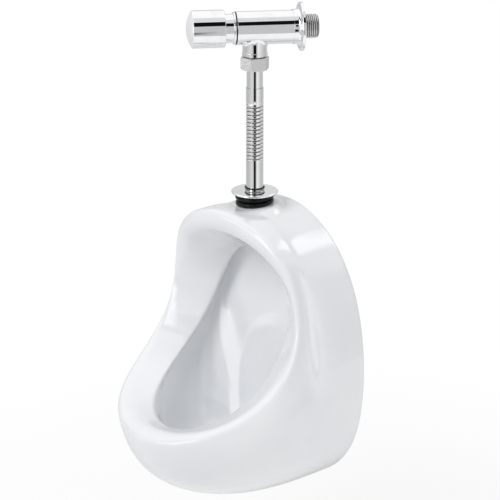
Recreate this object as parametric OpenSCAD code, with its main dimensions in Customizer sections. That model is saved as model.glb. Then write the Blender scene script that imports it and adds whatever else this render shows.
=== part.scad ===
// Wall-hung urinal: a vitreous china bowl on two wall hooks, flushed through a
// ribbed pipe by a self-closing push-button valve.
// The origin lies on the wall, midway between the two hook screws. X runs to the
// user's right, Y into the wall and Z up.

/* [Bowl outline] */
// Height of the bowl's back edge on the wall
bowl_h = 379; // [366:1:396]
// Half widths that steer the back edge, from top to bottom
back_w = [151, 152, 137, 152, 188]; // [100:1:220]
// Half widths that steer the rim's outer edge, from top to bottom
rim_w = [144, 120, 85, 213]; // [60:1:240]
// Distances from the wall that steer the rim's outer edge
rim_d = [104, 85, 78, 57, 250]; // [40:1:280]
// Distance from the back edge's top down to the rim's top
rim_drop = -1; // [-10:1:10]
// Height of the rim's outer edge at the bottom
rim_low = 112; // [105:1:120]
// Half widths that steer the mouth's edge, from top to bottom
mouth_w = [128, 89, 80, 175]; // [60:1:200]
// Distances from the wall that steer the mouth's edge
mouth_d = [101, 87, 53, 89, 225]; // [40:1:250]
// Distance from the back edge's top down to the mouth's top
mouth_drop = 29; // [24:1:36]
// Height of the mouth's edge at the bottom
mouth_low = 123; // [115:1:130]
// Half widths that steer the inner lip, from top to bottom
lip_w = [61, 77, 60, 127]; // [40:1:150]
// Distances from the wall that steer the inner lip
lip_d = [61, 47, 55, 87, 208]; // [40:1:230]
// Distance from the back edge's top down to the inner lip's top
lip_drop = 56; // [50:1:64]
// Height of the inner lip at the bottom
lip_low = 118; // [110:1:125]

/* [Bowl body] */
// Thickness of the china
wall = 9; // [7:0.5:11]
// Distance the sides run square to the wall before they turn in
side_run = 102; // [80:1:110]
// Distances that steer how far the sides lead into the rim, from top to bottom
rim_run = [62, -30, 113]; // [-40:1:120]
// Angles at which the sides lead into the rim, from top to bottom
rim_turn = [1, 6, -50, 82]; // [-60:1:90]
// Roundness of the rolled rim
rim_roll = 11; // [8:0.5:14]
// Depth of the hollow behind the inner lip
undercut = 10; // [6:0.5:13]
// Thickness of the inner lip
lip_t = 12; // [9:0.5:14]

/* [Outlet] */
// Distance of the outlet from the wall
drain_d = 112; // [104:1:120]
// Height of the basin floor at the outlet
drain_z = 60; // [56:1:66]
// Radius of the flat round the outlet
drain_flat_r = 33; // [32:0.5:36]
// Radius of the outlet hole in the china
drain_hole_r = 22.5; // [21.5:0.5:24]
// Radius of the opening below the outlet
underside_r = 45; // [42:0.5:48]
// Outer radius of the waste tail
tail_r = 20; // [19:0.5:20.5]
// Length of the waste tail below its flange
tail_l = 34; // [28:1:36]
// Radius of the strainer and of the flange below the china
strainer_r = 31; // [29.5:0.5:31.5]
// Thickness of the strainer's rubber seals
seal_t = 2; // [1.5:0.5:3]
// Radius of the strainer screw's shank
drain_screw_r = 3; // [2.5:0.25:4]

/* [Wall hooks] */
// Distance from the bowl's top down to the hook screws
hook_drop = 97; // [91:1:103]
// Distance between the two hook screws
hook_pitch = 140; // [130:1:150]
// Width of a hook
hook_w = 36; // [30:1:40]
// Thickness of the hook's steel
hook_t = 3; // [2.5:0.25:4]
// Height of the hook's arm above its screw
hook_rise = 18; // [15:1:20]
// Height of the hook's upturned lip above its arm
hook_lip = 12; // [8:1:14]
// Radius of the hook's screw hole
hook_hole_r = 3.25; // [2.5:0.25:4.5]

/* [Inlet and pipe] */
// Distance of the pipe from the wall
inlet_d = 54; // [50:1:58]
// Radius of the inlet hole in the china
inlet_r = 19; // [18:0.5:20]
// Radius of the grommet's upper lobe
grommet_r = 25; // [22:0.5:26]
// Height of the grommet above its seat
grommet_h = 14.5; // [12:0.5:15]
// Length of the grommet's shank in the inlet
grommet_shank = 18; // [14:1:20]
// Outer radius of the flush pipe
pipe_r = 11; // [10:0.25:12]
// Thickness of the flush pipe
pipe_t = 1; // [0.8:0.1:1.2]
// Height of the flush pipe's plain lower end above the grommet's seat
plain_l = 56; // [50:0.5:60]
// Number of ribs along the pipe
rib_n = 16; // [8:1:18]
// Distance from rib to rib
rib_pitch = 4.75; // [4:0.05:5]
// Depth of the grooves between the ribs
rib_depth = 1.2; // [0.8:0.1:1.5]
// Length of the plain end above the ribs
upper_l = 19; // [17:0.5:24]
// Radius of the rosette
rosette_r = 29.7; // [26:0.1:34]

/* [Union] */
// Outer radius of the tail that enters the union
union_tail_r = 10.2; // [9:0.1:11]
// Wall thickness of that tail
union_tail_t = 1.2; // [1:0.1:1.5]
// Length of that tail shown between the pipe and the union nut
union_tail_l = 23; // [18:1:28]
// Width of the union nut across its flats
union_af = 32; // [31:1:34]
// Height of the union nut
union_h = 16; // [15:0.5:18]
// Turn of the union nut
union_turn = 5; // [0:1:59]
// Radius of the outlet stub's thread
stub_thread_r = 13.2; // [12.8:0.1:13.5]

/* [Valve] */
// Turn of the valve away from square to the wall, at rest
valve_turn = 34; // [0:1:45]
// Outer radius of the valve body
body_r = 20.6; // [20.2:0.1:22]
// Length of the body from the pipe's axis to its front end
body_front = 23.5; // [23:0.5:26]
// Length of the body from the pipe's axis to its rear end
body_rear = 53; // [51:0.5:56]
// Radius of the body's front chamber
chamber_r = 17; // [16.5:0.1:17.2]
// Distance from the pipe's axis to the seat
seat_u = 18; // [16:0.5:19]
// Radius of the opening in the seat
seat_r = 8; // [7:0.25:8.5]
// Radius of the rear chamber
rear_r = 13; // [12.5:0.1:13.5]
// Radius of the outlet stub's barrel
stub_r = 15.3; // [14.8:0.1:16]
// Length of the outlet stub from the valve's axis to its shoulder
stub_l = 35.5; // [34:0.5:38]
// Radius of the inlet thread
inlet_thread_r = 15.1; // [14.8:0.05:15.4]
// Length of the inlet thread behind the body
inlet_thread_l = 25; // [22:0.1:30]
// Radius of the bore through the inlet nipple
inlet_bore_r = 10.5; // [9:0.25:11]
// Radius of the escutcheon
escutcheon_r = 30.2; // [27:0.1:33]

/* [Push button] */
// Travel of the push button
press = 8; // [6:0.5:9]
// Outer radius of the button cap
cap_r = 23.25; // [23:0.05:25]
// Distance from the pipe's axis to the cap's open end
cap_end = 38; // [37:0.25:41]
// Length of the cap's straight side
cap_l = 40; // [38:0.5:44]
// Height of the cap's dome
cap_dome = 7; // [5:0.5:8]
// Thickness of the cap
cap_t = 3; // [2.5:0.25:3.5]
// Radius of the visible neck
neck_r = 17.8; // [17.4:0.1:18.2]
// Radius of the stem
stem_r = 3; // [2.5:0.25:3.5]
// Radius of the damping piston
piston_r = 11; // [10:0.25:12]
// Radius of the return spring's coil
spring_r = 9.5; // [8.5:0.25:10.5]
// Radius of the return spring's wire
spring_wire_r = 0.9; // [0.7:0.05:1.1]
// Number of turns of the return spring
spring_turns = 8; // [6:1:9]

/* [Hidden] */

// Clearance between pieces that slide or turn on each other
slip = 0.05;
// Clearance between pieces of different moving groups
gap = 0.3;
// Overlap of cutting shapes
eps = 0.5;
// Facets of round pieces
$fn = 96;

china = "whitesmoke";
chrome = "silver";
satin = "lightgray";
brass = "goldenrod";
steel = "slategray";
rubber = "dimgray";

// Heights in the bowl are measured from its lowest point
mount_z = bowl_h - hook_drop;
rim_z = [bowl_h - rim_drop, rim_low];
mouth_z = [bowl_h - mouth_drop, mouth_low];
lip_z = [bowl_h - lip_drop, lip_low];
seat_rise = 0.8;
drain_seat = drain_z - wall;

function bez(c, u) = len(c) == 1 ? c[0]
    : bez([for (i = [0 : len(c) - 2]) c[i] * (1 - u) + c[i + 1] * u], u);
function unit(v) = v / norm(v);

// A point of a bowl ring at angle t, which runs from 0 at the top to 180 at the bottom
function ring(w, d, z, t) = let(u = (1 - cos(t)) / 2)
    [sin(t) * bez(w, u), -bez(d, u), z[0] + (z[1] - z[0]) * u];
// The direction that points away from a ring, in the plane of the wall
function away(w, z, t) = let(v = ring(w, [0], z, t + 1) - ring(w, [0], z, t - 1))
    unit([-v.z, 0, v.x]);
function share(t) = (1 - cos(t)) / 2;

function back_edge(t) = ring(back_w, [0], [bowl_h, 0], t);
function rim_edge(t) = ring(rim_w, rim_d, rim_z, t);
function mouth_edge(t) = ring(mouth_w, mouth_d, mouth_z, t);
function lip_edge(t) = ring(lip_w, lip_d, lip_z, t);

function lead_in(t) = let(a = bez(rim_turn, share(t)))
    [0, cos(a), 0] + away(rim_w, rim_z, t) * sin(a);
function side(t, s) = bez([
    back_edge(t),
    back_edge(t) - [0, side_run, 0],
    rim_edge(t) + lead_in(t) * bez(rim_run, share(t)),
    rim_edge(t)
], s);
function rim(t, s) = bez([
    rim_edge(t),
    rim_edge(t) - lead_in(t) * rim_roll,
    mouth_edge(t) - unit(lip_edge(t) - mouth_edge(t)) * rim_roll,
    mouth_edge(t)
], s);
function cheek(t, s) = bez([mouth_edge(t), lip_edge(t)], s);
function behind_lip(t) = lip_edge(t) + away(lip_w, lip_z, t) * undercut + [0, lip_t, 0];
function around_drain(t, r) = [r * sin(t), r * cos(t) - drain_d, drain_z];
// The basin falls from behind the lip to the flat round the outlet
basin_back = [22, 20, 8];
basin_drop = [0, 30, 20];
basin_reach = [52, 44, 56];
basin_rise = 7;
function basin(t, s) = let(u = share(t)) bez([
    behind_lip(t),
    behind_lip(t) + [0, bez(basin_back, u), -bez(basin_drop, u)],
    around_drain(t, drain_flat_r + bez(basin_reach, u)) + [0, 0, basin_rise],
    around_drain(t, drain_flat_r)
], s);

// The point one wall thickness behind a surface
function behind(f, t, s) = let(
    across = f(t + 1, s) - f(t - 1, s),
    along = f(t, s + 0.01) - f(t, s - 0.01)
) f(t, s) + wall * unit(cross(across, along));

ring_points = 48;
angles = [for (i = [0 : ring_points - 1]) 360 * i / ring_points];
side_steps = [0.12, 0.28, 0.45, 0.62, 0.78, 0.9];
rim_steps = [0, 0.25, 0.5, 0.75];
basin_steps = [0, 0.12, 0.28, 0.46, 0.64, 0.82];

shown_rings = concat(
    [[for (t = angles) back_edge(t)]],
    [for (s = side_steps) [for (t = angles) side(t, s)]],
    [for (s = rim_steps) [for (t = angles) rim(t, s)]],
    [for (s = [0, 0.5, 1]) [for (t = angles) cheek(t, s)]],
    [[for (t = angles) lip_edge(t) + [0, lip_t / 2, 0]]],
    [for (s = basin_steps) [for (t = angles) basin(t, s)]],
    [[for (t = angles) around_drain(t, drain_flat_r)]]
);
hidden_rings = concat(
    [[for (t = angles) around_drain(t, drain_flat_r) - [0, 0, wall]]],
    [for (i = [len(basin_steps) - 1 : -1 : 0])
        [for (t = angles) behind(function(a, s) basin(a, s), t, basin_steps[i])]],
    [for (s = [0.6, 0]) [for (t = angles) behind(function(a, s) cheek(a, s), t, s)]],
    [for (i = [len(side_steps) - 1 : -1 : 0])
        [for (t = angles) behind(function(a, s) side(a, s), t, side_steps[i])]],
    [[for (t = angles) let(p = behind(function(a, s) side(a, s), t, 0)) [p.x, 0, p.z]]]
);

// A closed skin through rings of points, with a flat cap at each end
module skin(rings) {
    n = len(rings[0]);
    last = len(rings) - 1;
    walls = [for (k = [0 : last - 1], i = [0 : n - 1]) let(
        a = k * n + i,
        b = k * n + (i + 1) % n
    ) each [[a, b, b + n], [a, b + n, a + n]]];
    caps = [[for (i = [n - 1 : -1 : 0]) i], [for (i = [0 : n - 1]) last * n + i]];
    polyhedron([for (r = rings) each r], concat(walls, caps), convexity = 10);
}

// The height of the bowl's crown at a distance from the wall
function crown_z(d, lo = 0, hi = 1, n = 24) = let(mid = (lo + hi) / 2)
    n == 0 ? side(0, mid).z
    : -side(0, mid).y < d ? crown_z(d, mid, hi, n - 1) : crown_z(d, lo, mid, n - 1);

// Every height below follows from the grommet's seat
inlet_seat = crown_z(inlet_d) + seat_rise;
grommet_top = inlet_seat + grommet_h;
inlet_floor = inlet_seat - grommet_shank - 11;
ribs_z = inlet_seat + plain_l;
pipe_top = ribs_z + rib_n * rib_pitch + upper_l;
pipe_bottom = inlet_floor + 8;
nut_z = pipe_top + union_tail_l;
nut_floor = 3;
collar_t = 2.4;
collar_r = stub_thread_r - 0.4;
union_washer_t = 2;
stub_end = nut_z + nut_floor + collar_t + union_washer_t + gap;
valve_z = nut_z + union_h + gap + stub_l;

module at_mount() translate([0, 0, -mount_z]) children();
module at_pipe(z) translate([0, -inlet_d, z]) children();
module at_drain(z) translate([0, -drain_d, z]) children();
// The valve's own frame: Z runs from the pipe's axis towards the wall thread
module in_valve() at_mount() at_pipe(valve_z) rotate([0, 0, 90 - valve_turn])
    rotate([0, 90, 0]) children();
module spun(points) rotate_extrude() polygon(points);
module tube(r_out, r_in, z0, z1) translate([0, 0, z0]) difference() {
    cylinder(r = r_out, h = z1 - z0);
    translate([0, 0, -eps]) cylinder(r = r_in, h = z1 - z0 + 2 * eps);
}

// The window in the china that each hook reaches through
window_w = hook_w + 8;
arm_top = mount_z + hook_rise + hook_t;
window_z = mount_z - 16;
rail_z = mount_z - 30;
rail_h = 75;
rail_inset = 4;

module back_rail() difference() {
    rotate([90, 0, 0]) linear_extrude(wall) intersection() {
        polygon([for (t = angles) let(p = back_edge(t) - away(back_w, [bowl_h, 0], t) * rail_inset)
            [p.x, p.z]]);
        translate([-bowl_h, rail_z]) square([2 * bowl_h, rail_h]);
    }
    for (x = [-1, 1]) translate([x * hook_pitch / 2 - window_w / 2, -wall - eps, window_z])
        cube([window_w, wall + 2 * eps, arm_top - window_z]);
}

// The inlet's boss carries the grommet and flares into the crown
boss_r = inlet_r + 9;
boss_top_r = grommet_r + 2;
boss_floor = 9;
spray_r = 4;
spray_pitch = 12;
spray_tilt = 16;
spray_l = 34;
module inlet_boss() at_pipe(inlet_seat) spun([
    [0, inlet_floor - boss_floor - inlet_seat], [boss_r, inlet_floor - boss_floor - inlet_seat],
    [boss_r, -wall], [boss_top_r + 9, -wall], [boss_top_r + 9, -5.6], [boss_top_r + 5, -4.2],
    [boss_top_r + 2.4, -2.4], [boss_top_r + 1, -0.8], [boss_top_r, 0], [0, 0]
]);

module bowl() color(china) at_mount() difference() {
    union() {
        skin(concat(hidden_rings, shown_rings));
        back_rail();
        inlet_boss();
    }
    at_pipe(inlet_floor) cylinder(r = inlet_r, h = 2 * bowl_h);
    at_pipe(inlet_seat) cylinder(r = grommet_r + gap, h = 2 * wall);
    for (i = [-1, 0, 1]) translate([i * spray_pitch, -inlet_d + 4, inlet_floor + 2])
        rotate([180 + spray_tilt, 0, 0]) cylinder(r = spray_r, h = spray_l);
    at_drain(drain_seat - eps) cylinder(r = drain_hole_r, h = wall + 2 * eps);
    at_drain(-eps) cylinder(r = underside_r, h = drain_seat - 8);
}

module wall_hooks() color(steel) at_mount() for (x = [-1, 1])
    translate([x * hook_pitch / 2 - hook_w / 2, 0, 0]) difference() {
        union() {
            translate([0, -hook_t, window_z + 2]) cube([hook_w, hook_t, arm_top - window_z - 2]);
            translate([0, -wall - gap - hook_t, arm_top - hook_t])
                cube([hook_w, wall + gap + hook_t, hook_t]);
            translate([0, -wall - gap - hook_t, arm_top - hook_t])
                cube([hook_w, hook_t, hook_t + hook_lip]);
        }
        translate([hook_w / 2, eps, mount_z]) rotate([90, 0, 0])
            cylinder(r = hook_hole_r, h = hook_t + 2 * eps);
    }

strainer_t = 3;
strainer_top = drain_z + seal_t + strainer_t;
slot_r = 2;
slots = 10;
slot_in = 8;
slot_out = 19;
flange_t = 3;
flange_z = drain_seat - seal_t;
tail_bore_r = tail_r - 2.5;
hub_r = 7;
hub_h = 12;
screw_head_r = 6;
screw_head_h = 2.5;

module waste_strainer() color(chrome) at_mount() at_drain(drain_z + seal_t) difference() {
    spun([[0, 0], [strainer_r, 0], [strainer_r, 1.2], [strainer_r - 3, strainer_t],
        [0, strainer_t]]);
    translate([0, 0, -eps]) cylinder(r = drain_screw_r + slip, h = strainer_t + 2 * eps);
    for (i = [0 : slots - 1]) rotate([0, 0, 360 * i / slots]) {
        translate([slot_in, 0, -eps]) cylinder(r = slot_r, h = strainer_t + 2 * eps);
        translate([slot_out, 0, -eps]) cylinder(r = slot_r, h = strainer_t + 2 * eps);
        translate([slot_in, -slot_r, -eps])
            cube([slot_out - slot_in, 2 * slot_r, strainer_t + 2 * eps]);
    }
}

module strainer_screw() color(steel) at_mount() at_drain(0) difference() {
    union() {
        spun([[0, strainer_top], [screw_head_r, strainer_top], [screw_head_r, strainer_top + 1],
            [screw_head_r - 1.5, strainer_top + screw_head_h], [0, strainer_top + screw_head_h]]);
        translate([0, 0, flange_z - flange_t - hub_h / 2])
            cylinder(r = drain_screw_r, h = strainer_top - flange_z + flange_t + hub_h / 2);
    }
    translate([-screw_head_r, -0.6, strainer_top + screw_head_h - 1.2])
        cube([2 * screw_head_r, 1.2, 2]);
}

module strainer_seal() color(rubber) at_mount() at_drain(0)
    tube(strainer_r - 1, drain_hole_r, drain_z, drain_z + seal_t);

module waste_washer() color(rubber) at_mount() at_drain(0)
    tube(strainer_r, drain_hole_r, flange_z, drain_seat);

// A tail tube with a flange below the china and a spider that takes the screw
module waste_tail() color(chrome) at_mount() at_drain(flange_z) difference() {
    union() {
        difference() {
            spun([[0, 0], [strainer_r, 0], [strainer_r, -flange_t], [tail_r + 2, -flange_t],
                [tail_r, -flange_t - 2], [tail_r, -flange_t - tail_l + 1],
                [tail_r - 1, -flange_t - tail_l], [0, -flange_t - tail_l]]);
            translate([0, 0, -flange_t - tail_l - eps])
                cylinder(r = tail_bore_r, h = flange_t + tail_l + 2 * eps);
        }
        translate([0, 0, -flange_t - hub_h + 2]) cylinder(r = hub_r, h = hub_h);
        for (a = [0, 60, 120]) rotate([0, 0, a]) translate([-tail_bore_r - 1, -1.25, -flange_t - hub_h + 2])
            cube([2 * tail_bore_r + 2, 2.5, hub_h - 4]);
    }
    translate([0, 0, -tail_l]) cylinder(r = drain_screw_r + slip, h = tail_l + eps);
}

// Two rubber lobes with a groove between them, on a shank that plugs the inlet
module inlet_grommet() color(rubber) at_mount() at_pipe(inlet_seat) difference() {
    lobe = grommet_h / 2;
    spun([[0, -grommet_shank], [inlet_r - 2, -grommet_shank], [inlet_r - slip, 4 - grommet_shank],
        [inlet_r - slip, 0], [grommet_r - 3.5, 0], [grommet_r - 1.5, 0.8], [grommet_r - 0.8, 2.6],
        [grommet_r - 1.2, 4.6], [grommet_r - 3.6, lobe - 1], [grommet_r - 3.6, lobe],
        [grommet_r - 0.8, lobe + 1.6], [grommet_r, lobe + 3.6], [grommet_r - 0.8, grommet_h - 1],
        [grommet_r - 2.5, grommet_h], [0, grommet_h]]);
    translate([0, 0, -grommet_shank - eps])
        cylinder(r = pipe_r + slip, h = grommet_shank + grommet_h + 2 * eps);
}

rib_waves = [for (i = [0 : rib_n - 1]) each [
    [pipe_r, ribs_z + (i + 0.12) * rib_pitch],
    [pipe_r - rib_depth, ribs_z + (i + 0.38) * rib_pitch],
    [pipe_r - rib_depth, ribs_z + (i + 0.62) * rib_pitch],
    [pipe_r, ribs_z + (i + 0.88) * rib_pitch]
]];
module flush_pipe() color(chrome) at_mount() at_pipe(0) spun(concat(
    [[pipe_r, pipe_bottom]], rib_waves, [[pipe_r, pipe_top], [pipe_r - pipe_t, pipe_top]],
    [for (i = [len(rib_waves) - 1 : -1 : 0]) rib_waves[i] - [pipe_t, 0]],
    [[pipe_r - pipe_t, pipe_bottom]]
));

rosette_z = grommet_top + gap;
rosette_hole_r = pipe_r + gap;
module rosette() color(chrome) at_mount() at_pipe(rosette_z) spun([
    [rosette_hole_r, 0.6], [rosette_r - 2, 0], [rosette_r, 0.8], [rosette_r, 1.8],
    [rosette_r - 1, 2.6], [pipe_r + 5, 3.4], [pipe_r + 2.4, 4.4], [pipe_r + 2.4, 6],
    [rosette_hole_r, 6]
]);
module rosette_ring() color(rubber) at_mount() at_pipe(rosette_z + 6) spun([
    [rosette_hole_r, 0], [pipe_r + 1.6, 0], [pipe_r + 1.9, 0.9], [pipe_r + 1.4, 1.8],
    [rosette_hole_r, 2]
]);

tail_in = upper_l - 4;
module union_tail() color(chrome) at_mount() at_pipe(0) spun([
    [union_tail_r - union_tail_t, pipe_top - tail_in],
    [min(union_tail_r, pipe_r - pipe_t) - slip, pipe_top - tail_in],
    [min(union_tail_r, pipe_r - pipe_t) - slip, pipe_top],
    [union_tail_r, pipe_top], [union_tail_r, nut_z + nut_floor],
    [collar_r, nut_z + nut_floor], [collar_r, nut_z + nut_floor + collar_t],
    [union_tail_r - union_tail_t, nut_z + nut_floor + collar_t]
]);
module union_washer() color(rubber) at_mount() at_pipe(0)
    tube(collar_r, union_tail_r - union_tail_t, nut_z + nut_floor + collar_t,
        nut_z + nut_floor + collar_t + union_washer_t);
module union_nut() color(satin) at_mount() at_pipe(nut_z) difference() {
    corner_r = union_af / 2 / cos(30);
    intersection() {
        rotate([0, 0, union_turn]) cylinder(r = corner_r, h = union_h, $fn = 6);
        spun([[0, 0], [corner_r - 1.6, 0], [corner_r, 1.2], [corner_r, union_h - 1.2],
            [corner_r - 1.6, union_h], [0, union_h]]);
    }
    translate([0, 0, nut_floor]) cylinder(r = stub_thread_r + gap, h = union_h);
    translate([0, 0, -eps]) cylinder(r = union_tail_r + slip, h = union_h);
}

seat_t = 6;
seat_ring_t = 2.5;
nipple_u = seat_u + seat_t + press + 10;
outlet_r = 9;
stub_flare = 2.8;
module valve_body() color(chrome) {
    in_valve() difference() {
        spun([[0, -body_front], [body_r - 1, -body_front], [body_r, 1 - body_front],
            [body_r, body_rear - 1], [body_r - 1, body_rear], [0, body_rear]]);
        translate([0, 0, -body_front - eps]) cylinder(r = chamber_r, h = body_front + seat_u + eps);
        translate([0, 0, seat_u - eps]) cylinder(r = seat_r + seat_ring_t, h = seat_t + 2 * eps);
        translate([0, 0, seat_u + seat_t]) cylinder(r = rear_r, h = body_rear);
        translate([0, 0, nipple_u]) cylinder(r = inlet_thread_r + slip, h = body_rear);
        rotate([0, 90, 0]) cylinder(r = outlet_r, h = body_r + stub_l);
    }
    in_valve() rotate([0, 90, 0]) difference() {
        spun([[outlet_r, body_r * 0.4], [stub_r + stub_flare, body_r * 0.4],
            [stub_r + stub_flare, body_r - 3.5], [stub_r + 1.2, body_r], [stub_r, body_r + 3],
            [stub_r, stub_l - 5.4], [stub_r + 0.7, stub_l - 5.1], [stub_r + 0.7, stub_l - 0.6],
            [stub_r, stub_l], [stub_thread_r, stub_l], [stub_thread_r, valve_z - stub_end],
            [outlet_r, valve_z - stub_end]]);
        rotate([0, -90, 0]) translate([0, 0, -body_front - eps])
            cylinder(r = chamber_r, h = body_front + seat_u + eps);
    }
}

module seat_ring() color(brass) in_valve() tube(seat_r + seat_ring_t, seat_r, seat_u - 0.5, seat_u + seat_t);

// The cap's straight side ends at its face, and its crown begins just inside
cap_face = cap_end + cap_l;
cap_inside = cap_face - 1;
guide_u = cap_end - 5;
guide_t = 4;
sleeve_out = cap_inside - press - 5;
sleeve_in = 12;
spring_room_r = spring_r + spring_wire_r + 1;
module neck_sleeve() color(chrome) in_valve() spun([
    [stem_r + slip, -guide_u], [spring_room_r, -guide_u], [spring_room_r, -sleeve_out],
    [neck_r - 1, -sleeve_out], [neck_r, 1 - sleeve_out],
    [neck_r, -body_front - front_ring_t - neck_flange_t],
    [neck_flange_r - 0.5, -body_front - front_ring_t - neck_flange_t],
    [neck_flange_r, 0.5 - body_front - front_ring_t - neck_flange_t],
    [neck_flange_r, -body_front - front_ring_t],
    [chamber_r - slip, -body_front - front_ring_t], [chamber_r - slip, -sleeve_in],
    [piston_r + slip, -sleeve_in], [piston_r + slip, guide_t - guide_u],
    [stem_r + slip, guide_t - guide_u]
]);
front_ring_t = 1.4;
neck_flange_r = body_r - 0.5;
neck_flange_t = 2.6;
module front_ring() color(rubber) in_valve()
    tube(body_r - 0.2, chamber_r, -body_front - front_ring_t, -body_front);

// The thread inside the body and the one for the wall fitting end in a plain relief
nipple_ring_t = 2.2;
nipple_front = nipple_u + nipple_ring_t;
nipple_end = body_rear + inlet_thread_l;
relief_l = 5.5;
relief_r = inlet_thread_r - 0.8;
module inlet_nipple() color(satin) in_valve() spun([
    [inlet_bore_r, nipple_front], [inlet_thread_r, nipple_front],
    [inlet_thread_r, body_rear], [relief_r, body_rear + 0.8],
    [relief_r, body_rear + relief_l - 0.8], [inlet_thread_r, body_rear + relief_l],
    [inlet_thread_r, nipple_end - 1.2], [inlet_thread_r - 1.2, nipple_end],
    [inlet_bore_r, nipple_end]
]);
module nipple_ring() color(rubber) in_valve()
    tube(inlet_thread_r, inlet_bore_r + 1, nipple_u, nipple_front);

filter_u = nipple_u + 8;
module inlet_filter() color(steel) in_valve() difference() {
    translate([0, 0, filter_u]) cylinder(r = inlet_bore_r, h = 1.5);
    for (x = [-2 : 2], y = [-2 : 2]) if (norm([x, y]) < 2.6)
        translate([x * 3.2, y * 3.2, filter_u - eps]) cylinder(r = 1.1, h = 1.5 + 2 * eps, $fn = 24);
}

escutcheon_u = body_rear - 6.5;
escutcheon_l = 12.5;
module escutcheon() color(chrome) in_valve() translate([0, 0, escutcheon_u]) spun([
    [body_r + gap, 0], [body_r + gap + 1, 0], [body_r + gap + 1.1, 3], [body_r + gap + 2, 6],
    [body_r + gap + 4, 8.2], [escutcheon_r - 1.8, 9], [escutcheon_r - 0.4, 9.6],
    [escutcheon_r, 10.6], [escutcheon_r, escutcheon_l], [escutcheon_r - 1.4, escutcheon_l],
    [escutcheon_r - 1.8, 10.6], [body_r + gap + 2, 9], [body_r + gap, 5]
]);

// A round wire wound along the valve's axis
coil_z0 = -cap_inside + spring_wire_r;
coil_z1 = -guide_u - spring_wire_r;
coil_steps = 12;
coil_sides = 6;
function on_coil(k) = let(a = 360 * k / coil_steps, f = k / coil_steps / spring_turns)
    [spring_r * cos(a), spring_r * sin(a), coil_z0 + (coil_z1 - coil_z0) * f];
function wire_ring(k) = let(
    a = 360 * k / coil_steps,
    out = [cos(a), sin(a), 0],
    up = unit(cross(out, on_coil(k + 0.5) - on_coil(k - 0.5)))
) [for (j = [0 : coil_sides - 1]) let(b = 360 * j / coil_sides)
    on_coil(k) + spring_wire_r * (out * cos(b) + up * sin(b))];
module return_spring() color(steel) in_valve()
    skin([for (k = [0 : coil_steps * spring_turns]) wire_ring(k)]);

// The cap is screwed to the stem through a boss under its crown
cap_boss_r = 6;
cap_boss_l = 8;
dome_r = (cap_r * cap_r + cap_dome * cap_dome) / (2 * cap_dome);
dome_steps = 6;
crown_r = cap_r - 0.7;
function dome_u(x) = dome_r - cap_dome - cap_face - sqrt(dome_r * dome_r - x * x);
module button_cap() color(chrome) in_valve() difference() {
    spun(concat(
        [[neck_r + gap, -cap_end], [cap_r - 0.8, -cap_end], [cap_r, -cap_end - 0.8],
            [cap_r, 1 - cap_face]],
        [for (i = [0 : dome_steps]) let(x = crown_r * (1 - i / dome_steps)) [x, dome_u(x)]],
        [[0, -cap_inside + cap_boss_l], [cap_boss_r, -cap_inside + cap_boss_l],
            [cap_boss_r, -cap_inside], [cap_r - cap_t, -cap_inside],
            [cap_r - cap_t, -cap_end - 6], [neck_r + gap, -cap_end - 6]]
    ));
    translate([0, 0, -cap_inside]) cylinder(r = stem_r + slip, h = cap_l);
}

disc_r = seat_r + 3.5;
disc_t = 3;
disc_u = seat_u + seat_t + slip;
piston_u = guide_t - guide_u + gap;
piston_l = 8;
groove_u = piston_u + 2.5;
groove_l = 3;
stem_end = disc_u + disc_t + 5;
module button_stem() color(steel) in_valve() spun([
    [0, -cap_inside], [stem_r, -cap_inside], [stem_r, stem_end - 0.6],
    [stem_r - 0.6, stem_end], [0, stem_end]
]);
module damping_piston() color(brass) in_valve() spun([
    [stem_r, piston_u], [piston_r, piston_u], [piston_r, groove_u],
    [piston_r - 2, groove_u], [piston_r - 2, groove_u + groove_l], [piston_r, groove_u + groove_l],
    [piston_r, piston_u + piston_l], [stem_r, piston_u + piston_l]
]);
module piston_ring() color(rubber) in_valve()
    tube(piston_r, piston_r - 2, groove_u, groove_u + groove_l);
module valve_disc() color(rubber) in_valve() tube(disc_r, stem_r, disc_u, disc_u + disc_t);
module disc_nut() color(brass) in_valve() difference() {
    translate([0, 0, disc_u + disc_t]) cylinder(r = 6, h = 4, $fn = 6);
    cylinder(r = stem_r, h = body_rear);
}

bowl();
wall_hooks();
waste_strainer();
strainer_screw();
strainer_seal();
waste_washer();
waste_tail();
inlet_grommet();
flush_pipe();
rosette();
rosette_ring();
union_tail();
union_washer();
union_nut();
valve_body();
seat_ring();
neck_sleeve();
front_ring();
inlet_nipple();
nipple_ring();
inlet_filter();
escutcheon();
return_spring();
button_cap();
button_stem();
damping_piston();
piston_ring();
valve_disc();
disc_nut();
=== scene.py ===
# Wall-hung urinal with its push-button flush valve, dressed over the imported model.
# Sizes in the dictionaries are millimetres, places are measured from the point
# midway between the two hook screws on the wall.
import math
import bmesh
import bpy
from mathutils import Matrix, Vector


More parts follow.
